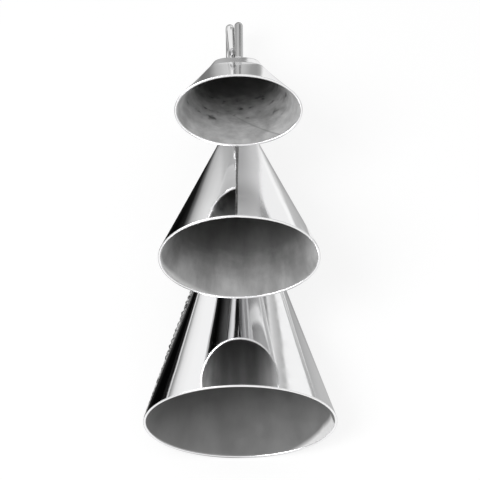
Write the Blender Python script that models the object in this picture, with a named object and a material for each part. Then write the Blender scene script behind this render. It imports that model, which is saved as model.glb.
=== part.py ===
import math

import bmesh
import bpy
import numpy
from mathutils import Matrix, Vector

# Three oval sheet bells on two bent rods, lying on its back: mouths towards -Y, +Z up, metres.

# Sheet and rod stock
SHEET_THICKNESS = 0.0016
ROD_DIAMETER = 0.00635
FIT_GAP = 0.0003

# Bell mouths, outside
SMALL_MOUTH_WIDTH = 0.0848
SMALL_MOUTH_HEIGHT = 0.0494
MID_MOUTH_WIDTH = 0.1013
MID_MOUTH_HEIGHT = 0.0596
LARGE_MOUTH_WIDTH = 0.120
LARGE_MOUTH_HEIGHT = 0.0699

# Bell lengths, from the mouth to the back of the lip
SMALL_LENGTH = 0.129
MID_LENGTH = 0.166
LARGE_LENGTH = 0.182

# The lip is the small end of each bell, pressed to a low oval sleeve round its rod
SMALL_LIP_WIDTH = 0.0336
MID_LIP_WIDTH = 0.0269
LARGE_LIP_WIDTH = 0.0258
LIP_LENGTH = 0.015
RIM_CHAMFER = 0.00025

# Where the other two mouths sit from the middle of the large mouth, the large bell lying level
MID_MOUTH_BACK = 0.0771
MID_MOUTH_UP = 0.0669
MID_TILT = math.radians(15.6)
SMALL_MOUTH_BACK = 0.1925
SMALL_MOUTH_UP = 0.0888
SMALL_TILT = math.radians(24.9)

# Rods
MAIN_BEND_RADIUS = 0.013
MAIN_BEND_REACH = 0.0515
KNEE_RADIUS = 0.018
KNEE_REACH = 0.007
MID_BEND_SETBACK = 0.002
MAIN_ROD_ASIDE = 0.0005
MID_LIP_ROD_ASIDE = -0.0015
TIP_TUCK_ANGLE = math.radians(53.0)
BEND_TUCK_ANGLE = math.radians(17.0)
ROD_TIP_SETBACK = 0.002

# Weld metal
SEAM_WIDTH = 0.0022
SEAM_HEIGHT = 0.0006
SEAM_END_SETBACK = 0.008
MID_SEAM_ANGLE = math.radians(92.0)
LARGE_SEAM_ANGLE = math.radians(176.0)
SMALL_SEAM_ANGLE = math.radians(-53.0)
COLLAR_RADIUS = 0.0013
TACK_RADIUS = 0.0016
TACK_START = 0.003
TACK_LENGTH = 0.010

# Facets
BELL_FACETS = 60
ROD_FACETS = 16
BEAD_FACETS = 8
COLLAR_STEPS = 21
BEND_STEPS = 18
KNEE_STEPS = 4
LEG_STEPS = 8

ROD_RADIUS = ROD_DIAMETER / 2
ROD_SPACING = ROD_DIAMETER + FIT_GAP
LIP_HALF_HEIGHT = ROD_RADIUS + FIT_GAP + SHEET_THICKNESS
SIDE = Vector((1.0, 0.0, 0.0))


def side_view(back, up):
    return Vector((0.0, back, up))


def heading(tilt):
    return side_view(math.cos(tilt), -math.sin(tilt))


def upright(tilt):
    return side_view(math.sin(tilt), math.cos(tilt))


class Bell:
    """An oval cone that narrows to its end and is pressed low over its lip; angles go round from +X to the top."""

    def __init__(self, name, width, height, length, lip_width, mouth, tilt, seam_angle):
        self.name = name
        self.width = width
        self.height = height
        self.length = length
        self.lip_width = lip_width
        self.mouth = mouth
        self.tilt = tilt
        self.seam_angle = seam_angle

    def end(self):
        return self.mouth + heading(self.tilt) * self.length

    def fold(self):
        return self.length - LIP_LENGTH

    def point(self, along, angle, inset=0.0):
        flattening = min(along / self.fold(), 1.0)
        half_width = self.width / 2 + (self.lip_width / 2 - self.width / 2) * along / self.length
        half_height = self.height / 2 + (LIP_HALF_HEIGHT - self.height / 2) * flattening
        across = SIDE * ((half_width - inset) * math.cos(angle))
        up = upright(self.tilt) * ((half_height - inset) * math.sin(angle))
        return self.mouth + heading(self.tilt) * along + across + up

    def stations(self):
        cone = [self.fold() * share for share in (0.25, 0.5, 0.75, 1.0)]
        return [RIM_CHAMFER] + cone + [self.length - LIP_LENGTH / 2, self.length]

    def shell_rings(self):
        outer = [(along, 0.0) for along in self.stations()]
        inner = [(along, SHEET_THICKNESS) for along in reversed(self.stations())]
        rim = [(0.0, SHEET_THICKNESS - RIM_CHAMFER), (0.0, RIM_CHAMFER)]
        return outer + inner + rim

    def surface_frame(self, along, angle):
        """A point on the outside with the directions along the seam, across it and out of the sheet."""
        step = 0.0005
        here = self.point(along, angle)
        ahead = (self.point(along + step, angle) - here).normalized()
        across = (self.point(along, angle + 0.02) - here).normalized()
        out = across.cross(ahead).normalized()
        if out.dot(here - (self.mouth + heading(self.tilt) * along)) < 0.0:
            out = -out
        return here, out, ahead.cross(out).normalized()


def loft(name, rings, closed):
    """Skin a run of equal rings of points into one closed solid."""
    mesh = bmesh.new()
    loops = [[mesh.verts.new(point) for point in ring] for ring in rings]
    count = len(loops[0])
    pairs = list(zip(loops, loops[1:]))
    if closed:
        pairs.append((loops[-1], loops[0]))
    for first, second in pairs:
        for index in range(count):
            after = (index + 1) % count
            mesh.faces.new((first[index], first[after], second[after], second[index]))
    if not closed:
        mesh.faces.new(loops[0])
        mesh.faces.new(loops[-1])
    bmesh.ops.recalc_face_normals(mesh, faces=mesh.faces)
    data = bpy.data.meshes.new(name)
    mesh.to_mesh(data)
    mesh.free()
    piece = bpy.data.objects.new(name, data)
    bpy.context.scene.collection.objects.link(piece)
    return piece


def turn(count, index):
    return 2.0 * math.pi * index / count


def make_shell(bell):
    angles = [turn(BELL_FACETS, index) + math.pi / BELL_FACETS for index in range(BELL_FACETS)]
    rings = [[bell.point(along, angle, inset) for angle in angles] for along, inset in bell.shell_rings()]
    return loft(bell.name + "_bell", rings, closed=True)


def make_seam(bell):
    """A low weld bead along the outside of one bell, clear of the sheet by the fit gap."""
    rings = []
    for share in numpy.linspace(0.0, 1.0, 13):
        along = 0.0015 + (bell.fold() - SEAM_END_SETBACK - 0.0015) * float(share)
        here, out, across = bell.surface_frame(along, bell.seam_angle)
        ring = []
        for index in range(BEAD_FACETS):
            angle = turn(BEAD_FACETS, index)
            rise = SEAM_HEIGHT * max(math.sin(angle), -0.2)
            ring.append(here + across * (math.cos(angle) * SEAM_WIDTH / 2) + out * (FIT_GAP * 1.5 + rise))
        rings.append(ring)
    return loft(bell.name + "_seam", rings, closed=False)


def tube(name, path, radius, facets):
    """Sweep a round section along a path with one ring square to each point."""
    rings = []
    for index, point in enumerate(path):
        before = path[max(index - 1, 0)]
        after = path[min(index + 1, len(path) - 1)]
        direction = (after - before).normalized()
        first = SIDE - direction * SIDE.dot(direction)
        first.normalize()
        second = direction.cross(first)
        size = radius[index] if isinstance(radius, list) else radius
        rings.append([point + first * (math.cos(turn(facets, step)) * size)
                      + second * (math.sin(turn(facets, step)) * size) for step in range(facets)])
    return loft(name, rings, closed=False)


def tangent_tilt(point, middle, radius):
    """Tilt of the straight leg that leaves the point and touches the bend from above."""
    to_middle = middle - point
    return -math.atan2(to_middle.z, to_middle.y) - math.asin(radius / to_middle.length)


def knee_points(corner, first_tilt, second_tilt):
    """Points round the slight bend where two straight legs would meet in a corner."""
    turning = first_tilt - second_tilt
    radius = math.copysign(KNEE_RADIUS, turning)
    start = corner - heading(first_tilt) * (radius * math.tan(turning / 2))
    middle = start + upright(first_tilt) * radius
    return [middle - upright(first_tilt - turning * step / KNEE_STEPS) * radius for step in range(KNEE_STEPS + 1)]


def bend_points(middle, radius, first_tilt, second_tilt):
    """Points round the bend, from the upper leg over the back to the lower leg."""
    start = math.pi / 2 - first_tilt
    finish = -math.pi / 2 - second_tilt
    points = []
    for step in range(BEND_STEPS + 1):
        angle = start + (finish - start) * step / BEND_STEPS
        points.append(middle + side_view(math.cos(angle), math.sin(angle)) * radius)
    return points


def rest_tilt(rim_bottom, middle, radius):
    """How far the large mouth tips up when its rim and the bend of the rod lie on the floor."""
    to_bend = middle - rim_bottom
    return math.atan2(to_bend.z, to_bend.y) - math.asin(radius / to_bend.length)


def tucked(share):
    """Where the mid rod lies from the main rod along their upper legs, 0 at the tip and 1 at the bend."""
    angle = TIP_TUCK_ANGLE + (BEND_TUCK_ANGLE - TIP_TUCK_ANGLE) * share
    return SIDE * -math.cos(angle) - upright(leg_tilt) * math.sin(angle)


def make_collar(name, end, tilt, aside):
    """A rippled ring of weld metal round a rod where it leaves a lip."""
    middle = end + heading(tilt) * (FIT_GAP + COLLAR_RADIUS) + SIDE * aside
    rings = []
    for index in range(COLLAR_STEPS):
        around = turn(COLLAR_STEPS, index)
        outward = SIDE * math.cos(around) + upright(tilt) * math.sin(around)
        size = COLLAR_RADIUS * (0.92 + 0.08 * math.cos(around * 7))
        centre = middle + outward * (ROD_RADIUS + FIT_GAP + COLLAR_RADIUS)
        rings.append([centre + outward * (math.cos(turn(BEAD_FACETS, step)) * size)
                      + heading(tilt) * (math.sin(turn(BEAD_FACETS, step)) * size) for step in range(BEAD_FACETS)])
    return loft(name, rings, closed=True)


def make_tack(name, start, direction, length):
    """A short round-ended bead of weld metal."""
    path = []
    sizes = []
    for share in (0.0, 0.06, 0.16, 0.3, 0.45, 0.6, 0.72, 0.84, 0.94, 1.0):
        path.append(start + direction * (length * share))
        rise = math.sqrt(max(1.0 - (2.0 * share - 1.0) ** 4, 0.02))
        sizes.append(TACK_RADIUS * rise * (0.94 + 0.06 * math.cos(share * 19.0)))
    return tube(name, path, sizes, BEAD_FACETS)


def surface(piece, colour, roughness, metallic):
    material = bpy.data.materials.new(piece.name + "_material")
    material.use_nodes = True
    shader = material.node_tree.nodes["Principled BSDF"]
    shader.inputs["Base Color"].default_value = (*colour, 1.0)
    shader.inputs["Roughness"].default_value = roughness
    shader.inputs["Metallic"].default_value = metallic
    material.diffuse_color = (*colour, 1.0)
    piece.data.materials.append(material)


def smooth(piece, limit):
    for polygon in piece.data.polygons:
        polygon.use_smooth = True
    piece.data.set_sharp_from_angle(angle=math.radians(limit))


for left_over in list(bpy.data.objects):
    bpy.data.objects.remove(left_over)

large = Bell("large", LARGE_MOUTH_WIDTH, LARGE_MOUTH_HEIGHT, LARGE_LENGTH, LARGE_LIP_WIDTH,
             side_view(0.0, 0.0), 0.0, LARGE_SEAM_ANGLE)
mid = Bell("mid", MID_MOUTH_WIDTH, MID_MOUTH_HEIGHT, MID_LENGTH, MID_LIP_WIDTH,
           side_view(MID_MOUTH_BACK, MID_MOUTH_UP), MID_TILT, MID_SEAM_ANGLE)
small = Bell("small", SMALL_MOUTH_WIDTH, SMALL_MOUTH_HEIGHT, SMALL_LENGTH, SMALL_LIP_WIDTH,
             side_view(SMALL_MOUTH_BACK, SMALL_MOUTH_UP), SMALL_TILT, SMALL_SEAM_ANGLE)
bells = (small, mid, large)

# Main rod: out of the small lip, a slight knee, the upper leg, the bend and the lower leg to the large lip
main_middle = large.end() + heading(large.tilt) * (heading(large.tilt).dot(small.end() - large.end()) + MAIN_BEND_REACH)
main_middle += upright(large.tilt) * MAIN_BEND_RADIUS
knee_corner = small.end() + heading(small.tilt) * KNEE_REACH
leg_tilt = tangent_tilt(knee_corner, main_middle, MAIN_BEND_RADIUS)
knee = knee_points(knee_corner, small.tilt, leg_tilt)
main_path = [small.end() - heading(small.tilt) * (LIP_LENGTH - FIT_GAP)]
main_path += knee
main_path += bend_points(main_middle, MAIN_BEND_RADIUS, leg_tilt, large.tilt)
main_path += [large.end() - heading(large.tilt) * (LIP_LENGTH - FIT_GAP)]
main_path = [point + SIDE * MAIN_ROD_ASIDE for point in main_path]

# Mid rod: from its tip beside and under the upper leg of the main rod, round its own bend, to the mid lip
leg_start = knee[-1] + heading(leg_tilt) * ROD_TIP_SETBACK
under_leg = leg_start - upright(leg_tilt) * (ROD_SPACING * math.sin(BEND_TUCK_ANGLE))
mid_back = main_middle.y - MID_BEND_SETBACK
tangents = [[upright(leg_tilt).z, 1.0], [upright(mid.tilt).z, -1.0]]
offsets = [
    upright(leg_tilt).dot(under_leg) - upright(leg_tilt).y * mid_back,
    upright(mid.tilt).dot(mid.end()) - upright(mid.tilt).y * mid_back,
]
mid_up, mid_bend_radius = (float(value) for value in numpy.linalg.solve(tangents, offsets))
mid_middle = side_view(mid_back, mid_up)
mid_bend = bend_points(mid_middle, mid_bend_radius, leg_tilt, mid.tilt)
leg_length = heading(leg_tilt).dot(mid_bend[0] - leg_start)
mid_path = []
for step in range(LEG_STEPS):
    share = step / LEG_STEPS
    main_line = leg_start + heading(leg_tilt) * (leg_length * share)
    mid_path.append(main_line + SIDE * MAIN_ROD_ASIDE + tucked(share) * ROD_SPACING)
mid_path += [point + SIDE * (MAIN_ROD_ASIDE - ROD_SPACING) for point in mid_bend]

# Its lower leg passes beside the main rod and leans back to the middle once it is clear above it
above = upright(large.tilt).dot(mid.end() - large.end()) - ROD_SPACING * 1.1
clear_length = max(above / math.sin(mid.tilt - large.tilt), LIP_LENGTH)
mid_path.append(mid.end() + heading(mid.tilt) * clear_length + SIDE * (MAIN_ROD_ASIDE - ROD_SPACING))
mid_path.append(mid.end() + heading(mid.tilt) * KNEE_REACH + SIDE * MID_LIP_ROD_ASIDE)
mid_path.append(mid.end() - heading(mid.tilt) * (LIP_LENGTH - FIT_GAP) + SIDE * MID_LIP_ROD_ASIDE)

# The floor is under the large rim and the lower of the two bends
rim_bottom = side_view(0.0, -LARGE_MOUTH_HEIGHT / 2)
tilt_up = min(rest_tilt(rim_bottom, main_middle, MAIN_BEND_RADIUS + ROD_RADIUS),
              rest_tilt(rim_bottom, mid_middle, mid_bend_radius + ROD_RADIUS))

CHROME = (0.80, 0.80, 0.81)
WELD = (0.52, 0.52, 0.53)
pieces = []
for bell in bells:
    shell = make_shell(bell)
    surface(shell, CHROME, 0.12, 1.0)
    smooth(shell, 35.0)
    seam = make_seam(bell)
    surface(seam, WELD, 0.35, 1.0)
    smooth(seam, 50.0)
    pieces += [shell, seam]

main_rod = tube("main_rod", main_path, ROD_RADIUS, ROD_FACETS)
mid_rod = tube("mid_rod", mid_path, ROD_RADIUS, ROD_FACETS)
for rod in (main_rod, mid_rod):
    surface(rod, CHROME, 0.18, 1.0)
    smooth(rod, 40.0)
    pieces.append(rod)

welds = [
    make_collar("small_lip_weld", small.end(), small.tilt, MAIN_ROD_ASIDE),
    make_collar("mid_lip_weld", mid.end(), mid.tilt, MID_LIP_ROD_ASIDE),
    make_collar("large_lip_weld", large.end(), large.tilt, MAIN_ROD_ASIDE),
]

# The tack bead lies in the groove between the two upper legs, behind the small lip
tack_share = (TACK_START + TACK_LENGTH / 2) / leg_length
groove = math.sqrt((ROD_RADIUS + FIT_GAP + TACK_RADIUS) ** 2 - (ROD_SPACING / 2) ** 2)
groove_side = heading(leg_tilt).cross(tucked(tack_share))
if groove_side.x > 0.0:
    groove_side = -groove_side
tack_from = leg_start + heading(leg_tilt) * TACK_START + SIDE * MAIN_ROD_ASIDE
tack_from += tucked(tack_share) * (ROD_SPACING / 2) + groove_side * groove
welds.append(make_tack("rod_tack_weld", tack_from, heading(leg_tilt), TACK_LENGTH))

for weld in welds:
    surface(weld, WELD, 0.40, 1.0)
    smooth(weld, 50.0)
    pieces.append(weld)

# Set it down: tip the mouths up until the rim and the bends lie on the floor, and centre it
stand = Matrix.Rotation(-tilt_up, 4, "X")
for piece in pieces:
    piece.data.transform(stand)
corners = [vertex.co for piece in pieces for vertex in piece.data.vertices]
front = min(corner.y for corner in corners)
back = max(corner.y for corner in corners)
left = min(corner.x for corner in corners)
right = max(corner.x for corner in corners)
floor = min(corner.z for corner in corners)
centre = Matrix.Translation((-(left + right) / 2, -(front + back) / 2, -floor))
for piece in pieces:
    piece.data.transform(centre)
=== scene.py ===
import math

import bpy
from mathutils import Matrix, Vector, noise


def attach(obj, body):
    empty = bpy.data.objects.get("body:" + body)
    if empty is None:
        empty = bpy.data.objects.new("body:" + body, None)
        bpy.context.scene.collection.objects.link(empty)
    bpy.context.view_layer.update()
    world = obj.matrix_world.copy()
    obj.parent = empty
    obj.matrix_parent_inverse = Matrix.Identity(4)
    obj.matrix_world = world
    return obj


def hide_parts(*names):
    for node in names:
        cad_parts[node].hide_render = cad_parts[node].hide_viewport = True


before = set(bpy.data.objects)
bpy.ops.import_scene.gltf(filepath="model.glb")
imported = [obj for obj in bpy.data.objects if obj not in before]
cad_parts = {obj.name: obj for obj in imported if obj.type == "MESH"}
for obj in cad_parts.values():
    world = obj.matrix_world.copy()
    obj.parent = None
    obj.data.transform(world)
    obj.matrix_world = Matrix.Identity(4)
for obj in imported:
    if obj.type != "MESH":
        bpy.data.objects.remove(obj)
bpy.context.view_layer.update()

# One unit of a bell's UV map is this many metres, both round the bell and along it
mapSpan = 0.4

# Sheet and rods, in metres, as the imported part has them
sheet = {"thickness": 0.0016, "rimRound": 0.00045, "lipSquareness": 0.45, "foldRound": 0.0009,
         "rodRadius": 0.003175, "gap": 0.0003}

bells = {
    "small": {"mouth": (0.000312, 0.008461, 0.112502), "tilt": 28.185, "width": 0.0848, "height": 0.0494,
              "length": 0.129, "lipWidth": 0.0336, "lipLength": 0.015, "lean": -0.0013,
              "seamAngle": -53.0, "crease": 0.0},
    "mid": {"mouth": (0.000312, -0.108005, 0.097251), "tilt": 18.885, "width": 0.1013, "height": 0.0596,
            "length": 0.166, "lipWidth": 0.0269, "lipLength": 0.011, "lean": 0.0,
            "seamAngle": 91.875, "crease": 4.0},
    "large": {"mouth": (0.000312, -0.188812, 0.034879), "tilt": 3.285, "width": 0.120, "height": 0.0699,
              "length": 0.182, "lipWidth": 0.0258, "lipLength": 0.015, "lean": 0.0,
              "seamAngle": 176.25, "crease": 0.0},
}

shell = {"around": 192, "firstRow": 0.0006, "coneRows": 60, "foldRows": 12, "lipRows": 12, "rimSegments": 3,
         "creaseReach": 0.05, "creaseFade": 0.014, "creaseEnd": 0.03}


def deselectAll():
    if bpy.context.object and bpy.context.object.mode != "OBJECT":
        bpy.ops.object.mode_set(mode="OBJECT")
    bpy.ops.object.select_all(action="DESELECT")


def startEdit(piece, selectMode="VERT"):
    bpy.context.view_layer.objects.active = piece
    bpy.ops.object.mode_set(mode="EDIT")
    bpy.ops.mesh.select_mode(type=selectMode)
    bpy.ops.mesh.select_all(action="DESELECT")
    bpy.ops.object.mode_set(mode="OBJECT")


def backToEdit():
    bpy.ops.object.mode_set(mode="EDIT")


def selectEdges(piece, wanted):
    startEdit(piece, "EDGE")
    for edge in piece.data.edges:
        edge.select = wanted(edge)
    backToEdit()


def addTube(name, radius, length, around, rows, ends):
    # a cylinder along Y whose side is cut into equal rows
    deselectAll()
    bpy.ops.mesh.primitive_cylinder_add(vertices=around, radius=radius, depth=length, end_fill_type=ends,
                                        rotation=(-math.pi / 2, 0.0, 0.0))
    piece = bpy.context.object
    piece.name = name
    bpy.ops.object.transform_apply(location=True, rotation=True, scale=True)

    def runsAlong(edge):
        first, second = (piece.data.vertices[index].co.y for index in edge.vertices)
        return abs(first - second) > length / 2

    selectEdges(piece, runsAlong)
    bpy.ops.mesh.subdivide(number_cuts=rows - 1, quadcorner="STRAIGHT_CUT")
    bpy.ops.object.mode_set(mode="OBJECT")
    return piece


def heading(tilt):
    return Vector((0.0, math.cos(tilt), -math.sin(tilt)))


def upright(tilt):
    return Vector((0.0, math.sin(tilt), math.cos(tilt)))


def smoothStep(share):
    share = min(max(share, 0.0), 1.0)
    return share * share * (3.0 - 2.0 * share)


def sheetSection(bell, along, angle, inset):
    # across and up of the sheet at one place: an oval that narrows to its end, low over the lip round the rod
    fold = bell["length"] - bell["lipLength"]
    soft = sheet["foldRound"]
    share = min(along / fold, 1.0)
    if abs(along - fold) < soft:
        share = 1.0 - (fold + soft - along) ** 2 / (4 * soft * fold)
    lipHalfHeight = sheet["rodRadius"] + sheet["gap"] + sheet["thickness"]
    halfWidth = bell["width"] / 2 + (bell["lipWidth"] / 2 - bell["width"] / 2) * along / bell["length"]
    halfHeight = bell["height"] / 2 + (lipHalfHeight - bell["height"] / 2) * share
    fromSeam = (math.radians(bell["seamAngle"]) - angle) * halfWidth
    dent = 0.0
    if bell["crease"] and 0.0 < fromSeam < shell["creaseReach"]:
        dent = math.tan(math.radians(bell["crease"])) * fromSeam * math.exp(-fromSeam / shell["creaseFade"])
        dent *= 1.0 - smoothStep((along - fold + shell["creaseEnd"]) / shell["creaseEnd"])
    power = 2.0 / (2.0 + sheet["lipSquareness"] * share ** 4)
    across = math.copysign(abs(math.cos(angle)) ** power, math.cos(angle))
    up = math.copysign(abs(math.sin(angle)) ** power, math.sin(angle))
    return (halfWidth - inset) * across + bell["lean"] * share, (halfHeight - inset - dent) * up


def sheetPoint(bell, along, angle, inset=0.0):
    tilt = math.radians(bell["tilt"])
    across, up = sheetSection(bell, along, angle, inset)
    return Vector(bell["mouth"]) + heading(tilt) * along + upright(tilt) * up + Vector((across, 0.0, 0.0))


def rowPlaces(bell):
    # rows close together at the rim and round the fold at the lip
    fold = bell["length"] - bell["lipLength"]
    soft = sheet["foldRound"]
    places = [0.0, shell["firstRow"]]
    for end, rows in ((fold - soft * 1.5, "coneRows"), (fold + soft * 1.5, "foldRows"),
                      (bell["length"], "lipRows")):
        start = places[-1]
        places += [start + (end - start) * (step + 1) / shell[rows] for step in range(shell[rows])]
    return places


def makeBell(name, bell, materials):
    places = rowPlaces(bell)
    lastRow = len(places) - 1
    piece = addTube(name + "BellShell", bell["width"] / 2, bell["length"], shell["around"], lastRow,
                    "NOTHING")
    mesh = piece.data

    # the outside: each row goes to its place along the bell and takes its section
    rowOf = {}
    for vertex in mesh.vertices:
        row = round((vertex.co.y / bell["length"] + 0.5) * lastRow)
        angle = math.atan2(vertex.co.z, vertex.co.x)
        rowOf[vertex.index] = (row, angle)
        vertex.co = sheetPoint(bell, places[row], angle)
    outerCount = len(mesh.vertices)
    outerFaces = len(mesh.polygons)

    # the inside is a copy set in by the sheet's thickness, turned to face in and joined at both ends
    startEdit(piece, "VERT")
    backToEdit()
    bpy.ops.mesh.select_all(action="SELECT")
    bpy.ops.mesh.normals_make_consistent(inside=False)
    bpy.ops.mesh.duplicate()
    bpy.ops.mesh.flip_normals()
    bpy.ops.object.mode_set(mode="OBJECT")
    for index, (row, angle) in list(rowOf.items()):
        inner = mesh.vertices[outerCount + index]
        inner.co = sheetPoint(bell, places[row], angle, sheet["thickness"])
        rowOf[outerCount + index] = (row, angle)
    for end in (0, lastRow):
        selectEdges(piece, lambda edge: all(rowOf[index][0] == end for index in edge.vertices))
        bpy.ops.mesh.bridge_edge_loops()
        bpy.ops.object.mode_set(mode="OBJECT")

    # which way round and how far along, kept as the UV map that the finishes follow
    seam = math.radians(bell["seamAngle"])
    layer = mesh.uv_layers.new(name="seamMap")
    for polygon in mesh.polygons:
        turns = []
        for index in polygon.vertices:
            turns.append((rowOf[index][1] - seam + math.pi) % (2 * math.pi) - math.pi)
        if max(turns) - min(turns) > math.pi:
            turns = [turn if turn > 0.0 else turn + 2 * math.pi for turn in turns]
        for loop, index, turn in zip(polygon.loop_indices, polygon.vertices, turns):
            along = places[rowOf[index][0]]
            share = along / bell["length"]
            halfWidth = bell["width"] / 2 * (1.0 - share) + bell["lipWidth"] / 2 * share
            layer.data[loop].uv = (0.5 + turn * halfWidth * 0.8 / mapSpan, along / mapSpan)
        if polygon.index < outerFaces:
            polygon.material_index = 0
        elif polygon.index < 2 * outerFaces:
            polygon.material_index = 1
        else:
            polygon.material_index = 2
        polygon.use_smooth = True
    for material in materials:
        mesh.materials.append(material)

    # the sheet's edges meet in a slight ridge at the seam
    if bell["crease"]:
        selectEdges(piece, lambda edge: all(abs(rowOf[index][1] - seam) < 0.01 for index in edge.vertices))
        bpy.ops.mesh.mark_sharp()
        bpy.ops.object.mode_set(mode="OBJECT")

    # both corners of the cut rim are rounded a little, as by the polishing wheel
    def isCorner(edge):
        first, second = edge.vertices
        return rowOf[first][0] == rowOf[second][0] == 0 and (first < outerCount) == (second < outerCount)

    selectEdges(piece, isCorner)
    bpy.ops.mesh.bevel(offset=sheet["rimRound"], segments=shell["rimSegments"], material=2)
    bpy.ops.object.mode_set(mode="OBJECT")
    for polygon in mesh.polygons:
        polygon.use_smooth = True
    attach(piece, "root")
    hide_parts(name + "_bell")
    print("shell of the", name, "bell:", len(mesh.polygons), "faces")
    return piece


# Weld beads along the bells: half sunk in the sheet, rippled by the torch
seams = {
    "small": {"width": 0.0018, "height": 0.00030, "endHeight": 0.00030, "pitch": 0.0013, "uneven": 0.25},
    "mid": {"width": 0.0015, "height": 0.00016, "endHeight": 0.00016, "pitch": 0.0012, "uneven": 0.30},
    "large": {"width": 0.0048, "height": 0.00032, "endHeight": 0.00120, "pitch": 0.0023, "uneven": 0.80},
}
seamRun = {"start": 0.0010, "setback": 0.008, "taper": 0.001, "growth": 0.07, "around": 16, "rows": 220,
           "ripple": 0.35, "lowestRipple": 0.2, "sunk": 0.6}


def makeSeam(name, bell, bead, material):
    start = seamRun["start"]
    finish = bell["length"] - bell["lipLength"] - seamRun["setback"]
    piece = addTube(name + "SeamBead", bead["width"] / 2, finish - start, seamRun["around"],
                    seamRun["rows"], "NGON")
    seam = math.radians(bell["seamAngle"])
    middle = (start + finish) / 2
    for vertex in piece.data.vertices:
        along = vertex.co.y + middle
        around = math.atan2(vertex.co.z, vertex.co.x)
        base = sheetPoint(bell, along, seam)
        ahead = (sheetPoint(bell, along + 0.0005, seam) - base).normalized()
        side = (sheetPoint(bell, along, seam + 0.01) - sheetPoint(bell, along, seam - 0.01)).normalized()
        out = side.cross(ahead)
        if out.dot(base - Vector(bell["mouth"]) - heading(math.radians(bell["tilt"])) * along) < 0.0:
            out = -out
        ripple = 1.0 + seamRun["ripple"] * math.cos(along / bead["pitch"] * 2 * math.pi)
        ripple += bead["uneven"] * noise.noise(Vector((along * 700.0, around, 3.0)))
        ends = min(1.0, (along - start) / seamRun["taper"], (finish - along) / seamRun["taper"])
        ends = math.sqrt(max(ends, 0.02))
        waver = 0.5 * bead["uneven"] * noise.noise(Vector((along * 400.0, 7.0, 1.0)))
        wide = bead["width"] / 2 * (1.0 + waver)
        grown = min(1.0, (along - start) / seamRun["growth"])
        tall = bead["height"] + (bead["endHeight"] - bead["height"]) * grown
        rise = tall * max(ripple, seamRun["lowestRipple"]) * max(math.sin(around), -seamRun["sunk"])
        vertex.co = base + side * (math.cos(around) * wide * ends) + out.normalized() * (rise * ends)
    startEdit(piece, "FACE")
    backToEdit()
    bpy.ops.mesh.select_all(action="SELECT")
    bpy.ops.mesh.normals_make_consistent(inside=False)
    bpy.ops.object.mode_set(mode="OBJECT")
    bpy.ops.object.shade_smooth()
    piece.data.materials.append(material)
    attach(piece, "root")
    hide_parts(name + "_seam")
    return piece


# Rods: routes in the Y-Z plane and beside each other, bent round these centres
mainRodRoute = {"aside": 0.000812, "start": (0.109208, 0.058515), "kneeCorner": (0.128335, 0.048266),
                "kneeRadius": 0.018, "upperTilt": 28.185, "legTilt": 10.1615, "lowerTilt": 3.285,
                "bendCentre": (0.172349, 0.027170), "bendRadius": 0.013, "end": (-0.021787, 0.025292)}
midRodRoute = {"aside": -0.005838, "legTilt": 10.1615, "lowerTilt": 18.885,
               "leg": [(-0.003190, 0.132176, 0.042182), (-0.004635, 0.152607, 0.040040),
                       (-0.005838, 0.173104, 0.038266)],
               "bendCentre": (0.169983, 0.020852), "bendRadius": 0.017691,
               "lower": [(-0.005838, 0.101640, 0.025534), (-0.001188, 0.055683, 0.041255),
                         (-0.001188, 0.035151, 0.048279)]}
rodSteps = {"knee": 10, "leg": 16, "bend": 48}


def arcPoints(centre, radius, fromTilt, toTilt, aside):
    first = math.pi / 2 - math.radians(fromTilt)
    last = -math.pi / 2 - math.radians(toTilt)
    points = []
    for step in range(rodSteps["bend"] + 1):
        angle = first + (last - first) * step / rodSteps["bend"]
        back, up = math.cos(angle) * radius, math.sin(angle) * radius
        points.append(Vector((aside, centre[0] + back, centre[1] + up)))
    return points


def mainRodPoints(route):
    aside = route["aside"]
    first = math.radians(route["upperTilt"])
    second = math.radians(route["legTilt"])
    corner = Vector((aside, *route["kneeCorner"]))
    turning = first - second
    kneeStart = corner - heading(first) * (route["kneeRadius"] * math.tan(turning / 2))
    kneeMiddle = kneeStart + upright(first) * route["kneeRadius"]
    points = [Vector((aside, *route["start"]))]
    for step in range(rodSteps["knee"] + 1):
        points.append(kneeMiddle - upright(first - turning * step / rodSteps["knee"]) * route["kneeRadius"])
    points += arcPoints(route["bendCentre"], route["bendRadius"], route["legTilt"], route["lowerTilt"], aside)
    points.append(Vector((aside, *route["end"])))
    return points


def midRodPoints(route):
    # the upper leg is a shallow curve through three places
    first, middle, last = (Vector(point) for point in route["leg"])
    points = []
    for step in range(rodSteps["leg"]):
        share = step / rodSteps["leg"]
        points.append(first * ((1 - share) * (1 - 2 * share)) + middle * (4 * share * (1 - share))
                      + last * (share * (2 * share - 1)))
    points += arcPoints(route["bendCentre"], route["bendRadius"], route["legTilt"], route["lowerTilt"],
                        route["aside"])
    points += [Vector(point) for point in route["lower"]]
    return points


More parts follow.
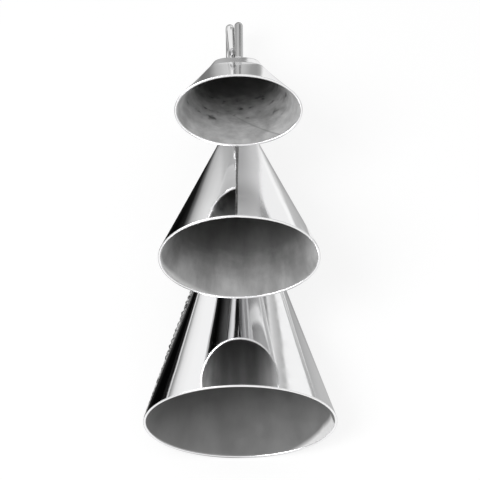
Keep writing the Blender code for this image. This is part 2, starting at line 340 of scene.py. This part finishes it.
def makeRod(name, node, points, material):
    deselectAll()
    bpy.ops.curve.primitive_bezier_curve_add()
    rod = bpy.context.object
    rod.name = name
    curve = rod.data
    curve.splines.clear()
    spline = curve.splines.new("POLY")
    spline.points.add(len(points) - 1)
    for place, point in zip(spline.points, points):
        place.co = (*point, 1.0)
    curve.bevel_depth = sheet["rodRadius"]
    curve.bevel_resolution = 10
    curve.use_fill_caps = True
    bpy.ops.object.convert(target="MESH")
    rod = bpy.context.object
    startEdit(rod, "VERT")
    backToEdit()
    bpy.ops.mesh.select_all(action="SELECT")
    bpy.ops.mesh.remove_doubles(threshold=0.00002)
    bpy.ops.mesh.normals_make_consistent(inside=False)
    bpy.ops.object.mode_set(mode="OBJECT")
    ends = rod.modifiers.new("sawnEnds", "BEVEL")
    ends.width = 0.0006
    ends.segments = 3
    ends.limit_method = "ANGLE"
    ends.angle_limit = math.radians(60)
    bpy.ops.object.modifier_apply(modifier=ends.name)
    bpy.ops.object.shade_smooth_by_angle(angle=math.radians(40))
    rod.data.materials.clear()
    rod.data.materials.append(material)
    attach(rod, "root")
    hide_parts(node)
    print(name, "has", len(rod.data.polygons), "faces")
    return rod


# Weld rings where each rod leaves its lip, and the tack between the two upper legs
collars = {
    "small": {"end": (0.000812, 0.122165, 0.051572), "tilt": 28.185},
    "mid": {"end": (-0.001188, 0.049060, 0.043521), "tilt": 18.885},
    "large": {"end": (0.000812, -0.007111, 0.024449), "tilt": 3.285},
}
collarBead = {"radius": 0.0013, "sunk": 0.1, "lumps": 15, "lumpDepth": 0.16, "rough": 0.12}
tack = {"start": (-0.004255, 0.136115, 0.047150), "end": (-0.004255, 0.145958, 0.045386), "radius": 0.0016,
        "ripple": 0.10, "ripples": 13.0, "rough": 0.08}


def makeCollar(name, spec, material):
    deselectAll()
    tilt = math.radians(spec["tilt"])
    ringRadius = sheet["rodRadius"] + collarBead["radius"] * (1.0 - collarBead["sunk"])
    middle = Vector(spec["end"]) + heading(tilt) * (sheet["gap"] + collarBead["radius"])
    bpy.ops.mesh.primitive_torus_add(major_segments=120, minor_segments=16, major_radius=ringRadius,
                                     minor_radius=collarBead["radius"])
    piece = bpy.context.object
    piece.name = name + "LipWeldBead"
    for vertex in piece.data.vertices:
        around = math.atan2(vertex.co.y, vertex.co.x)
        core = Vector((math.cos(around), math.sin(around), 0.0)) * ringRadius
        lump = 1.0 - collarBead["lumpDepth"] * abs(math.sin(around * collarBead["lumps"] / 2))
        roughAt = Vector((around * 5.0, vertex.co.z * 600.0, ringRadius * 100.0))
        lump += collarBead["rough"] * noise.noise(roughAt)
        vertex.co = core + (vertex.co - core) * min(lump, 1.0)
    piece.rotation_euler = (math.pi / 2 - tilt, 0.0, 0.0)
    piece.location = middle
    bpy.ops.object.transform_apply(location=True, rotation=True, scale=True)
    bpy.ops.object.shade_smooth()
    piece.data.materials.append(material)
    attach(piece, "root")
    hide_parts(name + "_lip_weld")
    return piece


def makeTack(spec, material):
    deselectAll()
    first = Vector(spec["start"])
    last = Vector(spec["end"])
    length = (last - first).length
    bpy.ops.mesh.primitive_uv_sphere_add(segments=32, ring_count=48, radius=1.0)
    piece = bpy.context.object
    piece.name = "tackWeldBead"
    for vertex in piece.data.vertices:
        # fuller than an ellipsoid towards its ends
        share = vertex.co.z
        ballRadius = math.sqrt(max(1.0 - share ** 2, 0.0))
        fullRadius = math.sqrt(max(1.0 - share ** 4, 0.0))
        size = spec["radius"] * (fullRadius / ballRadius if ballRadius > 0.01 else 1.0)
        ripple = spec["ripple"] * (math.cos(share * spec["ripples"]) - 1.0)
        size *= 1.0 + ripple + spec["rough"] * noise.noise(vertex.co * 2.5)
        vertex.co = Vector((vertex.co.x * size, vertex.co.y * size, share * length / 2))
    direction = (last - first).normalized()
    piece.rotation_euler = direction.to_track_quat("Z", "Y").to_euler()
    piece.location = (first + last) / 2
    bpy.ops.object.transform_apply(location=True, rotation=True, scale=True)
    bpy.ops.object.shade_smooth()
    piece.data.materials.append(material)
    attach(piece, "root")
    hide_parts("rod_tack_weld")
    return piece


# Shared effects are built once as node groups
def newGroup(name, inputs, outputs):
    group = bpy.data.node_groups.new(name, "ShaderNodeTree")
    group.interface.new_socket(name="Vector", in_out="INPUT", socket_type="NodeSocketVector")
    for label, value in inputs.items():
        socket = group.interface.new_socket(name=label, in_out="INPUT", socket_type="NodeSocketFloat")
        socket.default_value = value
    for label in outputs:
        group.interface.new_socket(name=label, in_out="OUTPUT", socket_type="NodeSocketFloat")
    return group, group.nodes.new("NodeGroupInput"), group.nodes.new("NodeGroupOutput")


def addNode(tree, kind, **settings):
    node = tree.nodes.new(kind)
    for label, value in settings.items():
        if label in node.inputs:
            node.inputs[label].default_value = value
        else:
            setattr(node, label, value)
    return node


def feed(tree, socket, value):
    if hasattr(value, "default_value"):
        tree.links.new(value, socket)
    else:
        socket.default_value = value


def mapRange(tree, source, fromLow, fromHigh, toLow, toHigh):
    node = tree.nodes.new("ShaderNodeMapRange")
    for label, value in zip(("From Min", "From Max", "To Min", "To Max"), (fromLow, fromHigh, toLow, toHigh)):
        feed(tree, node.inputs[label], value)
    tree.links.new(source, node.inputs["Value"])
    return node.outputs["Result"]


def mathNode(tree, operation, *values):
    node = tree.nodes.new("ShaderNodeMath")
    node.operation = operation
    for socket, value in zip(node.inputs, values):
        feed(tree, socket, value)
    return node.outputs[0]


def times(tree, first, second):
    return mathNode(tree, "MULTIPLY", first, second)


def fadeIn(tree, source, limits):
    return mapRange(tree, source, *limits, 0.0, 1.0)


def fadeOut(tree, source, limits):
    return mapRange(tree, source, *limits, 1.0, 0.0)


def mixColours(tree, mask, first, second):
    node = tree.nodes.new("ShaderNodeMix")
    node.data_type = "RGBA"
    tree.links.new(mask, node.inputs["Factor"])
    for socket, value in ((node.inputs[6], first), (node.inputs[7], second)):
        feed(tree, socket, (*value, 1.0) if isinstance(value, tuple) else value)
    return node.outputs[2]


def buildPolishWear():
    # fine rub marks and a haze from handling: one value for roughness, one height for the bump
    group, inside, outside = newGroup("polishWear", {"Low": 0.04, "High": 0.12, "Rub Scale": 120.0},
                                      ("Roughness", "Height", "Haze"))
    haze = addNode(group, "ShaderNodeTexNoise", Scale=14.0, Detail=3.0)
    rubs = addNode(group, "ShaderNodeTexNoise", Detail=5.0)
    group.links.new(inside.outputs["Vector"], haze.inputs["Vector"])
    group.links.new(inside.outputs["Vector"], rubs.inputs["Vector"])
    group.links.new(inside.outputs["Rub Scale"], rubs.inputs["Scale"])
    both = mathNode(group, "MULTIPLY", haze.outputs["Fac"], rubs.outputs["Fac"])
    rough = mapRange(group, both, 0.15, 0.42, inside.outputs["Low"], inside.outputs["High"])
    group.links.new(rough, outside.inputs["Roughness"])
    group.links.new(rubs.outputs["Fac"], outside.inputs["Height"])
    group.links.new(haze.outputs["Fac"], outside.inputs["Haze"])
    return group


def buildBlotches():
    # soft stains with smaller dark spots inside them
    group, inside, outside = newGroup("blotches", {"Scale": 20.0, "Spot Scale": 60.0}, ("Stain", "Spots"))
    cloud = addNode(group, "ShaderNodeTexNoise", Detail=5.0, Roughness=0.6)
    spots = addNode(group, "ShaderNodeTexNoise", Detail=2.0, Roughness=0.5)
    for node, label in ((cloud, "Scale"), (spots, "Spot Scale")):
        group.links.new(inside.outputs["Vector"], node.inputs["Vector"])
        group.links.new(inside.outputs[label], node.inputs["Scale"])
    group.links.new(mapRange(group, cloud.outputs["Fac"], 0.35, 0.68, 0.0, 1.0), outside.inputs["Stain"])
    group.links.new(mapRange(group, spots.outputs["Fac"], 0.60, 0.70, 0.0, 1.0), outside.inputs["Spots"])
    return group


def useGroup(tree, group, **values):
    node = tree.nodes.new("ShaderNodeGroup")
    node.node_tree = group
    for label, value in values.items():
        feed(tree, node.inputs[label.replace("_", " ")], value)
    return node


def newMaterial(name, roughness, metallic):
    material = bpy.data.materials.new(name)
    material.use_nodes = True
    tree = material.node_tree
    shader = tree.nodes["Principled BSDF"]
    shader.inputs["Roughness"].default_value = roughness
    shader.inputs["Metallic"].default_value = metallic
    return material, tree, shader


def addBump(tree, shader, height, strength, distance):
    bump = addNode(tree, "ShaderNodeBump", Strength=strength, Distance=distance)
    tree.links.new(height, bump.inputs["Height"])
    tree.links.new(bump.outputs["Normal"], shader.inputs["Normal"])


def objectVector(tree):
    return tree.nodes.new("ShaderNodeTexCoord").outputs["Object"]


def seamVector(tree):
    return addNode(tree, "ShaderNodeUVMap", uv_map="seamMap").outputs["UV"]


def splitVector(tree, vector):
    node = tree.nodes.new("ShaderNodeSeparateXYZ")
    tree.links.new(vector, node.inputs[0])
    return node.outputs[0], node.outputs[1], node.outputs[2]


def seamOffset(tree, vector):
    # metres round the bell from its weld, to either side
    return times(tree, mathNode(tree, "SUBTRACT", splitVector(tree, vector)[0], 0.5), mapSpan)


def addNoise(tree, vector, scale, detail):
    node = addNode(tree, "ShaderNodeTexNoise", Scale=scale, Detail=detail)
    tree.links.new(vector, node.inputs["Vector"])
    return node.outputs["Fac"]


# Outside of the bells: chrome plate, with a rough strip each side of the weld and a dull one on one side
plate = {"lowRough": 0.03, "highRough": 0.11, "rubScale": 160.0, "hazed": (0.86, 0.86, 0.865),
         "clear": (0.91, 0.91, 0.915), "swellScale": 38.0, "pitScale": 900.0, "pits": (0.02, 0.02, 0.02),
         "crests": (0.80, 0.79, 0.78), "crestHeight": 1.2, "groundRough": 0.35, "groundMetal": 0.6,
         "dullStart": 0.0006, "dullRough": 0.34}


def bellOutsideFinish(name, groundStrip, dullStrip):
    material, tree, shader = newMaterial(name, plate["lowRough"], 1.0)
    vector = objectVector(tree)
    wear = useGroup(tree, polishWear, Vector=vector, Low=plate["lowRough"], High=plate["highRough"],
                    Rub_Scale=plate["rubScale"])
    offset = seamOffset(tree, seamVector(tree))
    pitting = addNoise(tree, vector, plate["pitScale"], 3.0)
    ground = fadeOut(tree, mathNode(tree, "ABSOLUTE", offset), (groundStrip * 0.85, groundStrip))
    chrome = mixColours(tree, wear.outputs["Haze"], plate["hazed"], plate["clear"])
    pitted = mixColours(tree, pitting, plate["pits"], plate["crests"])
    tree.links.new(mixColours(tree, ground, chrome, pitted), shader.inputs["Base Color"])
    rougher = times(tree, ground, plate["groundRough"])
    if dullStrip:
        # one side of the weld was dressed flush and never got its full polish back
        fromWeld = times(tree, offset, -1.0)
        strip = times(tree, fadeIn(tree, fromWeld, (0.0, plate["dullStart"])),
                      fadeOut(tree, fromWeld, (dullStrip * 0.7, dullStrip)))
        rougher = mathNode(tree, "ADD", rougher, times(tree, strip, plate["dullRough"]))
    tree.links.new(mathNode(tree, "ADD", wear.outputs["Roughness"], rougher), shader.inputs["Roughness"])
    tree.links.new(mapRange(tree, ground, 0.0, 1.0, 1.0, plate["groundMetal"]), shader.inputs["Metallic"])
    crests = times(tree, times(tree, pitting, ground), plate["crestHeight"])
    height = mathNode(tree, "ADD", addNoise(tree, vector, plate["swellScale"], 1.0), crests)
    addBump(tree, shader, height, 0.25, 0.0003)
    return material


# Inside of the bells: dull plate, cloudy and stained, with painted shade that darkens it deep down; lengths
# in metres along the bell
insidePlate = {"roughness": (0.44, 0.60), "stainScale": 75.0, "spotStart": (0.024, 0.036),
               "spotEnd": (0.066, 0.076), "topReach": (0.020, 0.050), "lineWidth": (0.0003, 0.0010),
               "lineStart": 0.007, "paintedGleam": (1.0, 1.0, 1.0), "gleamEdge": (-0.0015, 0.0025),
               "gleamMetal": 0.15, "grainScale": 700.0}
# gleam is a painted highlight: where it is in the UV map, how far it keeps its depth, how far it reaches, and
# its depth
insideLooks = {
    "small": {"dull": (0.62, 0.62, 0.62), "bright": (0.95, 0.95, 0.95), "dark": (0.05, 0.05, 0.05),
              "cloudScale": 90.0, "stretch": 1.3, "spotScale": 150.0, "spots": 0.75, "ragged": 0.024,
              "deep": (0.020, 0.075), "deepShade": 0.78, "topShade": 0.0, "line": 0.28, "lineSlant": 0.533,
              "paintedGleam": None, "metallic": 0.35},
    "mid": {"dull": (0.50, 0.50, 0.50), "bright": (0.88, 0.88, 0.88), "dark": (0.07, 0.07, 0.07),
            "cloudScale": 60.0, "stretch": 6.0, "spotScale": 120.0, "spots": 0.1, "ragged": 0.010,
            "deep": (0.010, 0.046), "deepShade": 0.62, "topShade": 0.75, "line": 0.2, "lineSlant": 0.0,
            "paintedGleam": (0.704, 0.0, 0.08, 0.006), "metallic": 0.35},
    "large": {"dull": (0.33, 0.33, 0.33), "bright": (0.40, 0.40, 0.40), "dark": (0.08, 0.08, 0.08),
              "cloudScale": 50.0, "stretch": 4.0, "spotScale": 120.0, "spots": 0.05, "ragged": 0.006,
              "deep": (0.05, 0.14), "deepShade": 0.3, "topShade": 0.0, "line": 0.2, "lineSlant": 0.0,
              "paintedGleam": (0.88, 0.055, 0.118, 0.0080), "metallic": 0.6},
}


def bellInsideFinish(name, look, tilt):
    material, tree, shader = newMaterial(name, 0.5, look["metallic"])
    vector = seamVector(tree)
    stretch = addNode(tree, "ShaderNodeMapping", vector_type="TEXTURE", Scale=(1.0, look["stretch"], 1.0),
                      Rotation=(-math.radians(tilt), 0.0, 0.0))
    tree.links.new(objectVector(tree), stretch.inputs["Vector"])
    streaks = useGroup(tree, blotches, Vector=stretch.outputs["Vector"], Scale=look["cloudScale"])
    marks = useGroup(tree, blotches, Vector=objectVector(tree), Scale=insidePlate["stainScale"],
                     Spot_Scale=look["spotScale"])
    aroundSeam, along, _ = splitVector(tree, vector)
    along = times(tree, along, mapSpan)
    offset = seamOffset(tree, vector)

    # clouds, with painted shade past a ragged edge deep in the bell, and spots between
    colour = mixColours(tree, streaks.outputs["Stain"], look["dull"], look["bright"])
    ragged = times(tree, mathNode(tree, "SUBTRACT", marks.outputs["Stain"], 0.5), look["ragged"])
    deep = fadeIn(tree, mathNode(tree, "ADD", along, ragged), look["deep"])
    colour = mixColours(tree, times(tree, deep, look["deepShade"]), colour, look["dark"])
    zone = times(tree, fadeIn(tree, along, insidePlate["spotStart"]),
                 fadeOut(tree, along, insidePlate["spotEnd"]))
    spotted = times(tree, times(tree, marks.outputs["Spots"], zone), look["spots"])
    colour = mixColours(tree, spotted, colour, look["dark"])
    # painted shade: darker on each side of the weld, which runs along the top of the mid bell
    if look["topShade"]:
        top = fadeOut(tree, mathNode(tree, "ABSOLUTE", offset), insidePlate["topReach"])
        colour = mixColours(tree, times(tree, top, look["topShade"]), colour, look["dark"])

    # the line where the sheet's edges meet
    drift = times(tree, mathNode(tree, "SUBTRACT", along, insidePlate["lineStart"]), look["lineSlant"])
    fromLine = mathNode(tree, "ABSOLUTE", mathNode(tree, "ADD", offset, drift))
    line = times(tree, fadeOut(tree, fromLine, insidePlate["lineWidth"]), look["line"])
    line = times(tree, line, mathNode(tree, "SUBTRACT", 1.0, deep))
    colour = mixColours(tree, line, colour, look["dark"])
    if look["paintedGleam"]:
        # a painted highlight: a white, less metallic band just inside the mouth on the lower right
        middle, flat, reach, depth = look["paintedGleam"]
        fromGleam = mathNode(tree, "ABSOLUTE", mathNode(tree, "SUBTRACT", aroundSeam, middle))
        edge = times(tree, fadeOut(tree, fromGleam, (flat, reach)), depth)
        paintedGleam = fadeIn(tree, mathNode(tree, "SUBTRACT", edge, along), insidePlate["gleamEdge"])
        colour = mixColours(tree, paintedGleam, colour, insidePlate["paintedGleam"])
        metallic = mapRange(tree, paintedGleam, 0.0, 1.0, look["metallic"], insidePlate["gleamMetal"])
        tree.links.new(metallic, shader.inputs["Metallic"])
    tree.links.new(colour, shader.inputs["Base Color"])
    roughness = mapRange(tree, marks.outputs["Stain"], 0.0, 1.0, *insidePlate["roughness"])
    tree.links.new(roughness, shader.inputs["Roughness"])
    addBump(tree, shader, addNoise(tree, vector, insidePlate["grainScale"], 4.0), 0.12, 0.0001)
    return material


def metalFinish(name, low, high, rubScale, dull, bright, bump):
    material, tree, shader = newMaterial(name, low, 1.0)
    wear = useGroup(tree, polishWear, Vector=objectVector(tree), Low=low, High=high, Rub_Scale=rubScale)
    tree.links.new(mixColours(tree, wear.outputs["Haze"], dull, bright), shader.inputs["Base Color"])
    tree.links.new(wear.outputs["Roughness"], shader.inputs["Roughness"])
    addBump(tree, shader, wear.outputs["Height"], bump, 0.0001)
    return material


def weldFinish(name, dark, light, roughness, metallic):
    material, tree, shader = newMaterial(name, roughness, metallic)
    vector = objectVector(tree)
    wear = useGroup(tree, polishWear, Vector=vector, Low=roughness * 0.6, High=roughness * 1.4,
                    Rub_Scale=900.0)
    scale = addNoise(tree, vector, 420.0, 5.0)
    scaled = fadeIn(tree, scale, (0.38, 0.60))
    tree.links.new(mixColours(tree, scaled, dark, light), shader.inputs["Base Color"])
    tree.links.new(wear.outputs["Roughness"], shader.inputs["Roughness"])
    addBump(tree, shader, scale, 0.5, 0.0003)
    return material


polishWear = buildPolishWear()
blotches = buildBlotches()
# half the width of the rough strip, and how far the dull one reaches
outsides = {"small": bellOutsideFinish("smallBellPlate", 0.0006, 0.0),
            "mid": bellOutsideFinish("midBellPlate", 0.0006, 0.015),
            "large": bellOutsideFinish("largeBellPlate", 0.0095, 0.0)}
insides = {}
for bellName, look in insideLooks.items():
    insides[bellName] = bellInsideFinish(bellName + "BellInside", look, bells[bellName]["tilt"])
rimPlate = metalFinish("cutSheetRim", 0.12, 0.30, 300.0, (0.86, 0.86, 0.87), (0.96, 0.96, 0.96), 0.10)
# painted shade: the main rod's plate is coloured darker than the mid rod's, for the grey it mirrors
mainRodPlateWithPaintedShade = metalFinish("mainRodPlateWithPaintedShade", 0.12, 0.26, 260.0, (0.36, 0.36, 0.36), (0.52, 0.52, 0.52), 0.18)
midRodPlate = metalFinish("midRodPlate", 0.02, 0.08, 260.0, (0.78, 0.78, 0.78), (0.92, 0.92, 0.92), 0.18)
brightWeld = weldFinish("platedWeld", (0.30, 0.30, 0.30), (0.75, 0.75, 0.76), 0.28, 1.0)
darkWeld = weldFinish("darkWeld", (0.05, 0.05, 0.05), (0.28, 0.28, 0.28), 0.40, 1.0)
roughWeld = weldFinish("roughWeld", (0.02, 0.02, 0.02), (0.80, 0.80, 0.80), 0.45, 0.4)
print("finishes are ready")

seamWelds = {"small": darkWeld, "mid": darkWeld, "large": roughWeld}
for bellName, bell in bells.items():
    makeBell(bellName, bell, [outsides[bellName], insides[bellName], rimPlate])
    makeSeam(bellName, bell, seams[bellName], seamWelds[bellName])
    makeCollar(bellName, collars[bellName], brightWeld)
print("bells, seams and lip welds are made")

makeRod("mainRodBent", "main_rod", mainRodPoints(mainRodRoute), mainRodPlateWithPaintedShade)
makeRod("midRodBent", "mid_rod", midRodPoints(midRodRoute), midRodPlate)
makeTack(tack, brightWeld)
print("rods are bent and tacked")

# Studio: a pale floor and a soft lamp; the plating mirrors painted reflections, tones that only mirrored rays
# see:
# a bright sweep behind that opens like a V, a black flag on the left and a grey one on the right
studio = {"floorSize": 6.0, "floorDrop": 0.0002, "floorColour": (0.86, 0.86, 0.86), "floorGlow": 0.80,
          "floorShade": (0.24, 0.24, 0.24, 1.0), "worldLevel": 0.62, "lampLevel": 9.0}
white = (1.0, 1.0, 1.0)


def toneRamp(tree, source, steps):
    low, high = steps[0][0], steps[-1][0]
    ramp = tree.nodes.new("ShaderNodeValToRGB")
    tree.links.new(fadeIn(tree, source, (low, high)), ramp.inputs["Fac"])
    marks = ramp.color_ramp.elements
    while len(marks) < len(steps):
        marks.new(0.5)
    for mark, (where, level) in zip(marks, steps):
        mark.position = (where - low) / (high - low)
        mark.color = (level, level, level, 1.0)
    return ramp.outputs["Color"]


# The floor as mirrored rays see it, painted with shadow and reflections: steps are (metres, level), and pairs
# are where one tone gives way to another
floorTones = {
    "vTip": 0.100, "leftSlope": 1.03, "rightSlope": 1.0,
    "sideBlend": (-0.006, 0.006), "vBlend": (-0.02, 0.02),
    "leftSteps": [(-0.040, 0.012), (0.0, 0.15), (0.018, 0.34), (0.055, 0.52), (0.11, 0.68), (0.20, 0.82)],
    "rightSteps": [(-0.28, 0.54), (-0.175, 0.42), (-0.163, 0.34), (-0.157, 0.95), (-0.143, 0.95),
                   (-0.137, 0.46), (-0.10, 0.50), (-0.045, 0.56), (-0.015, 0.88), (0.05, 0.95)],
    "underSteps": [(-0.100, 0.12), (-0.045, 1.0), (-0.030, 0.6), (0.0, 0.12), (0.020, 0.22), (0.035, 0.62),
                   (0.080, 1.0)],
    "underBack": (0.10, 0.16), "underFront": (-0.20, -0.15),
    "underGlow": [(-0.110, 0.010), (-0.072, 0.05), (-0.050, 0.085), (0.0, 0.085)], "glowBack": (0.0, 0.05),
    "hotSpot": (0.126, 0.098), "hotSpotSize": 0.030, "hotSpotLevel": 0.45,
    "farRight": (0.30, 0.60), "farRightLevel": 0.56,
    "boundaryBack": 0.335, "boundarySlope": 0.085,
    "handleSteps": [(-0.105, 1.0), (-0.076, 0.90), (-0.060, 0.84), (-0.045, 0.64), (-0.020, 0.52),
                    (0.0, 0.44), (0.0145, 0.32), (0.0175, 1.15)],
    "coneSteps": [(-0.052, 1.0), (-0.036, 0.34), (-0.030, 0.38), (-0.023, 0.72), (-0.014, 0.90),
                  (-0.008, 0.92), (0.007, 0.69), (0.014, 0.47), (0.020, 0.43), (0.0235, 0.55),
                  (0.0262, 1.25)],
    "coneToHandle": (0.218, 0.240), "bandStart": (0.165, 0.185), "bandEnd": (0.5, 0.7), "firstHand": 1.5,
    "frontEdge": (-0.200, -0.188),
}


def mirroredFloorTone(tree, depth):
    tones = floorTones
    place = objectVector(tree)
    across, back, _ = splitVector(tree, place)
    behind = mathNode(tree, "SUBTRACT", back, tones["vTip"])
    leftEdge = mathNode(tree, "ADD", behind, times(tree, across, tones["leftSlope"]))
    rightEdge = mathNode(tree, "SUBTRACT", behind, times(tree, across, tones["rightSlope"]))
    # painted reflections: a dark patch on the left and a grey one on the right, meeting in a V
    leftTone = toneRamp(tree, leftEdge, tones["leftSteps"])
    rightTone = toneRamp(tree, rightEdge, tones["rightSteps"])
    side = mixColours(tree, fadeOut(tree, across, tones["sideBlend"]), rightTone, leftTone)
    tone = mixColours(tree, fadeIn(tree, behind, tones["vBlend"]), side,
                      mathNode(tree, "MINIMUM", leftTone, rightTone))

    # painted shadow: under the part the mirrored floor is darker, but never quite black
    lifted = mathNode(tree, "MAXIMUM", tone, toneRamp(tree, across, tones["underGlow"]))
    tone = mixColours(tree, fadeOut(tree, back, tones["glowBack"]), tone, lifted)
    covered = times(tree, fadeOut(tree, back, tones["underBack"]), fadeIn(tree, back, tones["underFront"]))
    tone = times(tree, tone, mixColours(tree, covered, white, toneRamp(tree, across, tones["underSteps"])))
    # a painted pool of light
    spot = addNode(tree, "ShaderNodeVectorMath", operation="DISTANCE")
    tree.links.new(place, spot.inputs[0])
    spot.inputs[1].default_value = (*tones["hotSpot"], 0.0)
    glow = mapRange(tree, spot.outputs["Value"], 0.0, tones["hotSpotSize"], tones["hotSpotLevel"], 0.0)
    tone = mathNode(tree, "ADD", tone, glow)
    tone = times(tree, tone, mapRange(tree, across, *tones["farRight"], 1.0, tones["farRightLevel"]))

    # a painted reflection of the handle's grey side, in what the small bell and the top of the mid bell
    # mirror first hand
    fromBoundary = mathNode(tree, "SUBTRACT", back, tones["boundaryBack"])
    slanted = mathNode(tree, "ADD", across, times(tree, fromBoundary, tones["boundarySlope"]))
    handleTone = toneRamp(tree, slanted, tones["handleSteps"])
    coneTone = toneRamp(tree, across, tones["coneSteps"])
    nearBand = mixColours(tree, fadeIn(tree, back, tones["coneToHandle"]), coneTone, handleTone)
    inBand = times(tree, fadeIn(tree, back, tones["bandStart"]), fadeOut(tree, back, tones["bandEnd"]))
    inBand = times(tree, mathNode(tree, "LESS_THAN", depth, tones["firstHand"]), inBand)
    tone = times(tree, tone, mixColours(tree, inBand, white, nearBand))
    return mixColours(tree, fadeOut(tree, back, tones["frontEdge"]), tone, white)


def makeFloor():
    # the camera sees an even glow that keeps the part's shadow; mirrored rays see painted shadow and
    # reflections; other rays see plain pale paint
    deselectAll()
    bpy.ops.mesh.primitive_plane_add(size=studio["floorSize"], location=(0.0, 0.0, -studio["floorDrop"]))
    floor = bpy.context.object
    floor.name = "studioFloor"
    material, tree, shader = newMaterial("paleFloor", 0.9, 0.0)
    shader.inputs["Base Color"].default_value = (*studio["floorColour"], 1.0)
    glow = addNode(tree, "ShaderNodeEmission", Strength=studio["floorGlow"])
    shade = addNode(tree, "ShaderNodeBsdfDiffuse", Color=studio["floorShade"])
    seen = tree.nodes.new("ShaderNodeAddShader")
    tree.links.new(glow.outputs[0], seen.inputs[0])
    tree.links.new(shade.outputs[0], seen.inputs[1])
    rays = tree.nodes.new("ShaderNodeLightPath")
    mirrored = addNode(tree, "ShaderNodeEmission", Strength=1.0)
    tree.links.new(mirroredFloorTone(tree, rays.outputs["Ray Depth"]), mirrored.inputs["Color"])
    surface = shader.outputs[0]
    for ray, instead in (("Is Camera Ray", seen), ("Is Glossy Ray", mirrored)):
        mix = tree.nodes.new("ShaderNodeMixShader")
        tree.links.new(rays.outputs[ray], mix.inputs["Fac"])
        tree.links.new(surface, mix.inputs[1])
        tree.links.new(instead.outputs[0], mix.inputs[2])
        surface = mix.outputs[0]
    tree.links.new(surface, tree.nodes["Material Output"].inputs["Surface"])
    floor.data.materials.append(material)


# The mirrored room, painted reflections that only mirrored rays see: turn is in degrees from straight behind,
# to the right, and rise is above the floor
roomTones = {
    "horizonLeft": [(-5.0, 0.06), (-1.0, 0.16), (1.5, 0.45), (4.0, 0.78), (8.0, 0.93), (13.0, 1.0)],
    "leftStart": (-16.0, -24.0), "leftEnd": (-60.0, -45.0),
    "wallSteps": [(18.0, 0.4), (23.4, 0.26), (24.1, 0.84), (25.6, 0.62), (27.9, 0.44), (28.5, 1.0)],
    "wallSlant": 0.33, "rightStart": (6.0, 9.0), "rightTop": (20.0, 26.0),
    "flag": (0.02, 0.02, 0.02), "flagStart": (-34.5, -36.5), "flagEnd": (-80.0, -75.0), "flagTop": (7.0, 9.0),
    "frontTurn": [(100.0, 1.0), (118.0, 0.42), (136.0, 0.20), (150.0, 0.62), (164.0, 1.0)],
    "frontStart": (95.0, 105.0), "ceiling": [(50.0, 1.0), (66.0, 0.82), (90.0, 0.55)],
}


def makeWorld():
    tones = roomTones
    world = bpy.data.worlds.new("studioRoom")
    bpy.context.scene.world = world
    world.use_nodes = True
    tree = world.node_tree
    aside, behind, above = splitVector(tree, tree.nodes.new("ShaderNodeTexCoord").outputs["Generated"])
    turn = times(tree, mathNode(tree, "ARCTAN2", aside, behind), math.degrees(1.0))
    rise = times(tree, mathNode(tree, "ARCSINE", above), math.degrees(1.0))
    # a painted reflection of a black flag on the left
    flag = times(tree, fadeIn(tree, turn, tones["flagStart"]), fadeIn(tree, turn, tones["flagEnd"]))
    flag = times(tree, flag, fadeOut(tree, rise, tones["flagTop"]))
    left = mixColours(tree, flag, toneRamp(tree, rise, tones["horizonLeft"]), tones["flag"])
    onLeft = times(tree, fadeIn(tree, turn, tones["leftStart"]), fadeIn(tree, turn, tones["leftEnd"]))
    onLeft = mathNode(tree, "MAXIMUM", onLeft, flag)
    slant = mathNode(tree, "ADD", turn, times(tree, rise, tones["wallSlant"]))
    onRight = times(tree, fadeIn(tree, turn, tones["rightStart"]), fadeOut(tree, rise, tones["rightTop"]))
    tone = times(tree, mixColours(tree, onLeft, white, left),
                 mixColours(tree, onRight, white, toneRamp(tree, slant, tones["wallSteps"])))
    aroundFront = mathNode(tree, "ABSOLUTE", turn)
    front = toneRamp(tree, aroundFront, tones["frontTurn"])
    tone = mixColours(tree, fadeIn(tree, aroundFront, tones["frontStart"]), tone, front)
    tone = times(tree, tone, toneRamp(tree, rise, tones["ceiling"]))
    rays = tree.nodes.new("ShaderNodeLightPath")
    plain = mapRange(tree, rays.outputs["Is Camera Ray"], 0.0, 1.0, studio["worldLevel"], 1.0)
    background = tree.nodes["Background"]
    background.inputs["Color"].default_value = (*white, 1.0)
    # mirrored rays see the painted tones, other rays the plain level
    level = mixColours(tree, rays.outputs["Is Glossy Ray"], plain, tone)
    tree.links.new(level, background.inputs["Strength"])


def makeLamp(name, place, target, size, power):
    deselectAll()
    bpy.ops.object.light_add(type="AREA", location=place)
    lamp = bpy.context.object
    lamp.name = name
    lamp.data.shape = "SQUARE"
    lamp.data.size = size
    lamp.data.energy = power
    lamp.rotation_euler = (Vector(target) - Vector(place)).to_track_quat("-Z", "Y").to_euler()
    return lamp


makeFloor()
makeWorld()
makeLamp("sideLamp", (-0.55, -0.85, 1.15), (0.0, -0.05, 0.05), 0.6, studio["lampLevel"])
print("studio is lit")

# The photograph's view
view = {"place": (0.0003125, -0.84174, 0.91674), "down": 47.59, "roll": -0.35, "lens": 132.75, "sensor": 36.0,
        "shift": 0.8 / 480}
deselectAll()
bpy.ops.object.camera_add(location=view["place"])
camera = bpy.context.object
camera.name = "photoCamera"
camera.rotation_mode = "XYZ"
pitch = Matrix.Rotation(math.radians(90.0 - view["down"]), 4, "X")
roll = Matrix.Rotation(math.radians(view["roll"]), 4, "Z")
camera.rotation_euler = (pitch @ roll).to_euler()
camera.data.lens = view["lens"]
camera.data.sensor_width = view["sensor"]
camera.data.shift_x = view["shift"]
camera.data.clip_end = 20.0
bpy.context.scene.camera = camera
bpy.context.scene.view_settings.view_transform = "Standard"
